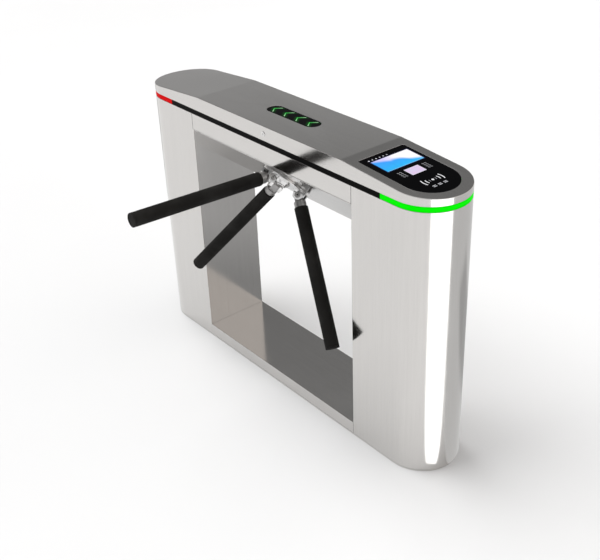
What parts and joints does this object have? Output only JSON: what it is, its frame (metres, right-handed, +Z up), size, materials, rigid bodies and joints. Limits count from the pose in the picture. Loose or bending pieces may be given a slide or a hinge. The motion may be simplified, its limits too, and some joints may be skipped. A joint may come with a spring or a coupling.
{
  "type": "tripod turnstile",
  "caption": "Bridge-type tripod turnstile with half-round ends, hinged lid, reader panel and drop arms; lets one visitor through at a time and counts them.",
  "frame": {"origin": "On the floor under the middle of the cabinet, on the underside of the base plate.", "axes": "+X along the cabinet towards the reader end, -Y towards the passage that the arms block, +Z up."},
  "size_m": [1.4, 0.729, 0.9475],
  "materials": {
    "stainless": "satin, close to mirror on the sides",
    "mill_steel": "machined",
    "zinc_plate": "zinc plated",
    "chrome": "polished",
    "foam": "fine grained matt",
    "black_trim": "satin",
    "green_light": "lit diffuser",
    "red_light": "lit diffuser",
    "black_glass": "black backed glass",
    "board": "solder mask",
    "module": "moulded",
    "coil_brass": "wound coil body"
  },
  "bodies": {
    "root": {"base_plate": "mill_steel", "base_sill": "stainless", "pillar_reader_end": "stainless", "pillar_far_end": "stainless", "bridge_front_panel": "stainless", "bridge_rear_panel": "stainless", "bridge_slant_panel": "stainless", "top_frame": "zinc_plate", "trim_strip_front": "black_trim", "trim_strip_rear": "black_trim", "light_guide_green": "green_light", "light_guide_red": "red_light", "hinge_frame_leaf": "stainless", "hinge_pin": "mill_steel", "lock_strike": "zinc_plate", "controller_box": "module", "power_supply": "zinc_plate", "mechanism_bracket": "zinc_plate", "mechanism_back_plate": "zinc_plate", "bearing_housing": "mill_steel", "front_bearing": "mill_steel", "rear_bearing": "mill_steel", "solenoid_reader_side": "coil_brass", "solenoid_far_side": "coil_brass", "encoder_sensor": "module", "centring_spring": "mill_steel"},
    "hub": {"arm_hub": "chrome", "hub_cap": "chrome", "main_shaft": "mill_steel", "index_cam": "mill_steel", "lock_wheel": "mill_steel", "encoder_disc": "black_trim", "arm_1_hinge_pin": "mill_steel", "arm_2_hinge_pin": "mill_steel", "arm_3_hinge_pin": "mill_steel"},
    "arm_1": {"arm_1_bar": "chrome", "arm_1_sleeve": "foam", "arm_1_end_cap": "foam"},
    "arm_2": {"arm_2_bar": "chrome", "arm_2_sleeve": "foam", "arm_2_end_cap": "foam"},
    "arm_3": {"arm_3_bar": "chrome", "arm_3_sleeve": "foam", "arm_3_end_cap": "foam"},
    "lid": {"lid_shell": "stainless", "hinge_lid_leaf": "stainless", "lock_barrel": "chrome", "indicator_lens": "black_glass", "indicator_board": "board", "reader_glass": "black_glass", "display_module": "module", "scanner_module": "module", "card_reader_board": "board"},
    "lock": {"lock_cam": "chrome"},
    "pawl_reader_side": {"lock_pawl_reader_side": "mill_steel"},
    "plunger_reader_side": {"plunger_reader_side": "mill_steel"},
    "pawl_far_side": {"lock_pawl_far_side": "mill_steel"},
    "plunger_far_side": {"plunger_far_side": "mill_steel"},
    "centring_lever": {"centring_lever": "mill_steel", "centring_roller": "mill_steel"}
  },
  "joints": [
    {"name": "hub_spin", "type": "hinge", "parent": "root", "child": "hub", "pos_m": [0, -0.0465, 0.74628], "axis": [0, -0.7266, -0.6871], "continuous": true},
    {"name": "arm_1_drop", "type": "hinge", "parent": "hub", "child": "arm_1", "pos_m": [0, -0.10897, 0.78022], "axis": [1, 0, 0], "range_deg": [0, 90]},
    {"name": "arm_2_drop", "type": "hinge", "parent": "hub", "child": "arm_2", "pos_m": [-0.05853, -0.03931, 0.70656], "axis": [-0.5, -0.595, 0.6292], "range_deg": [0, 45]},
    {"name": "arm_3_drop", "type": "hinge", "parent": "hub", "child": "arm_3", "pos_m": [0.05853, -0.03931, 0.70656], "axis": [-0.5, 0.595, -0.6292], "range_deg": [0, 45]},
    {"name": "lid_lift", "type": "hinge", "parent": "root", "child": "lid", "pos_m": [0, 0.1232, 0.9], "axis": [-1, 0, 0], "range_deg": [0, 80]},
    {"name": "lock_turn", "type": "hinge", "parent": "lid", "child": "lock", "pos_m": [0, -0.12, 0.9225], "axis": [0, 1, 0], "range_deg": [0, 90]},
    {"name": "pawl_reader_side_swing", "type": "hinge", "parent": "root", "child": "pawl_reader_side", "pos_m": [0.062, 0.00472, 0.85803], "axis": [0, 0.7266, 0.6871], "range_deg": [0, 8], "stiffness_Nm_per_rad": 0.5, "springref_deg": -8.59},
    {"name": "plunger_reader_side_slide", "type": "slide", "parent": "root", "child": "plunger_reader_side", "axis": [-1, 0, 0], "range_m": [0, 0.009]},
    {"name": "pawl_far_side_swing", "type": "hinge", "parent": "root", "child": "pawl_far_side", "pos_m": [-0.062, 0.00472, 0.85803], "axis": [0, -0.7266, -0.6871], "range_deg": [0, 8], "stiffness_Nm_per_rad": 0.5, "springref_deg": -8.59},
    {"name": "plunger_far_side_slide", "type": "slide", "parent": "root", "child": "plunger_far_side", "axis": [1, 0, 0], "range_m": [0, 0.009]},
    {"name": "centring_lever_swing", "type": "hinge", "parent": "root", "child": "centring_lever", "pos_m": [-0.06, 0.06395, 0.77502], "axis": [0, 0.7266, 0.6871], "range_deg": [0, 8], "stiffness_Nm_per_rad": 1, "springref_deg": -8.59}
  ],
  "couplings": [
    {"joint": "plunger_reader_side_slide", "follows": "pawl_reader_side_swing", "m_per_rad": 0.059},
    {"joint": "plunger_far_side_slide", "follows": "pawl_far_side_swing", "m_per_rad": 0.059}
  ]
}
